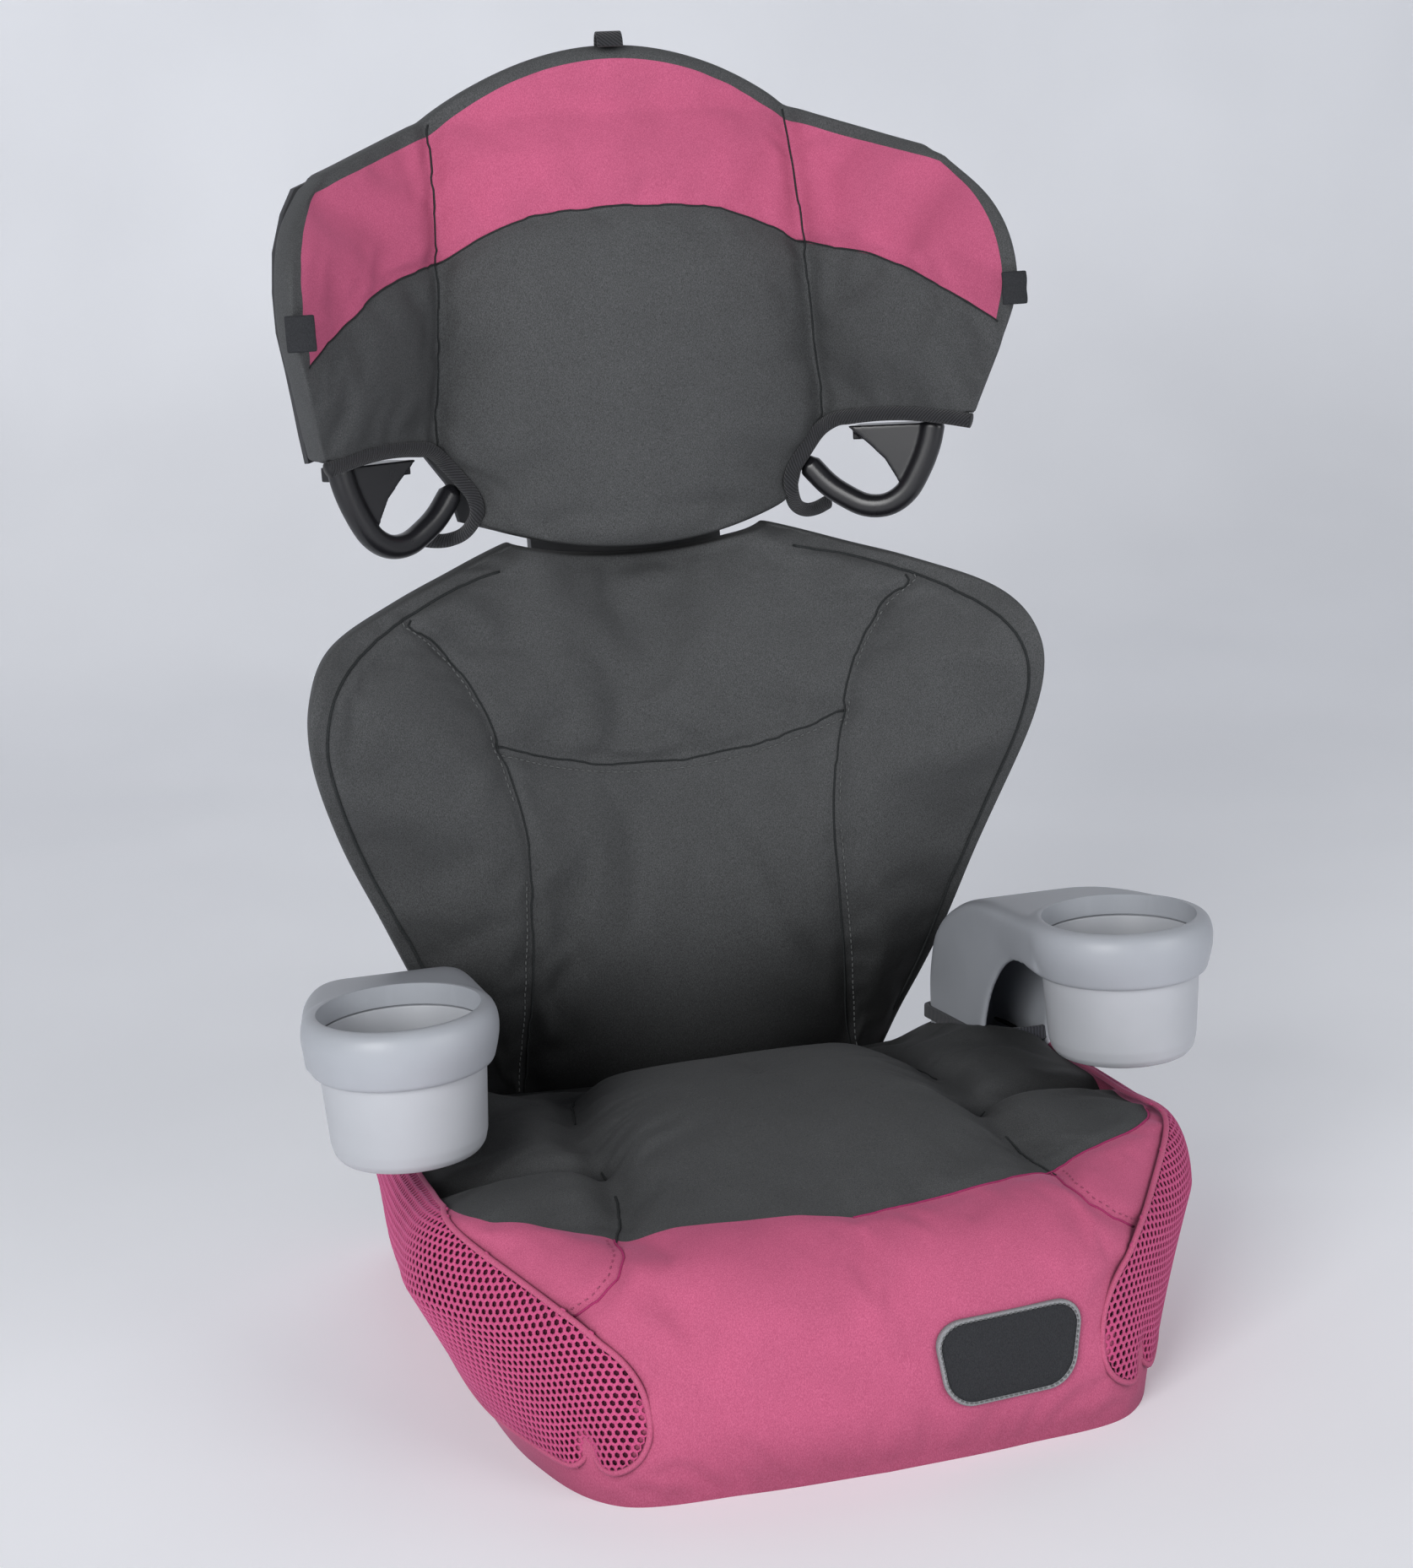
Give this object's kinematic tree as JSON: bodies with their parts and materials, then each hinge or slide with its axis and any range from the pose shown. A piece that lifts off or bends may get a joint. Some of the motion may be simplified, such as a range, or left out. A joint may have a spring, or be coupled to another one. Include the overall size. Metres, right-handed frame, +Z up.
{
  "type": "booster seat",
  "caption": "High-back child booster seat with padded covers, winged height-adjustable headrest, belt guides, armrests and cup holders.",
  "frame": {"origin": "middle of the flat underside of the base", "axes": "+X to the right in a front view, +Y towards the back of the seat, +Z up"},
  "size_m": [0.489, 0.523, 0.7072],
  "materials": {
    "plastic_grey": "satin",
    "plastic_pale": "satin",
    "plastic_dark": "satin",
    "plastic_black": "satin",
    "plastic_red": "satin",
    "fabric_charcoal": "matt jersey",
    "mesh_pink": "spacer mesh",
    "webbing_black": "ribbed tape",
    "foam_white": "soft open foam",
    "steel": "zinc plated"
  },
  "bodies": {
    "base": {"base_shell": "plastic_grey", "seat_foam": "foam_white", "seat_cover": "fabric_charcoal", "side_mesh_left": "mesh_pink", "side_mesh_right": "mesh_pink", "front_patch": "fabric_charcoal", "armrest_left": "plastic_grey", "armrest_right": "plastic_grey", "cup_left": "plastic_pale", "cup_right": "plastic_pale", "arm_binding_left": "webbing_black", "arm_binding_right": "webbing_black", "armrest_screw_left_front": "steel", "armrest_screw_left_rear": "steel", "armrest_screw_right_front": "steel", "armrest_screw_right_rear": "steel", "hinge_pin_left": "steel", "hinge_pin_right": "steel"},
    "backrest": {"back_shell": "plastic_dark", "back_foam": "foam_white", "back_cover": "fabric_charcoal"},
    "headrest": {"headrest_shell": "plastic_dark", "headrest_carriage": "plastic_dark", "head_foam": "foam_white", "wing_foam_left": "foam_white", "wing_foam_right": "foam_white", "headrest_cover": "fabric_charcoal", "wing_binding_left": "webbing_black", "wing_binding_right": "webbing_black", "belt_guide_left": "plastic_black", "belt_guide_right": "plastic_black", "side_tag_left": "webbing_black", "side_tag_right": "webbing_black", "top_loop": "webbing_black", "guide_screw_left_inner": "steel", "guide_screw_left_outer": "steel", "guide_screw_right_inner": "steel", "guide_screw_right_outer": "steel", "carriage_screw_left_lower": "steel", "carriage_screw_left_upper": "steel", "carriage_screw_right_lower": "steel", "carriage_screw_right_upper": "steel", "lever_pin": "steel"},
    "lever": {"release_lever": "plastic_red", "lever_spring": "steel"}
  },
  "joints": [
    {"name": "back_recline", "type": "hinge", "parent": "base", "child": "backrest", "pos_m": [0, 0.2, 0.03], "axis": [-1, 0, 0], "range_deg": [0, 15]},
    {"name": "headrest_height", "type": "slide", "parent": "backrest", "child": "headrest", "axis": [0, 0.0785, 0.9969], "range_m": [0, 0.09]},
    {"name": "lever_release", "type": "hinge", "parent": "headrest", "child": "lever", "pos_m": [0, 0.30261, 0.54353], "axis": [1, 0, 0], "range_deg": [0, 8], "deforming": ["lever_spring"]}
  ]
}
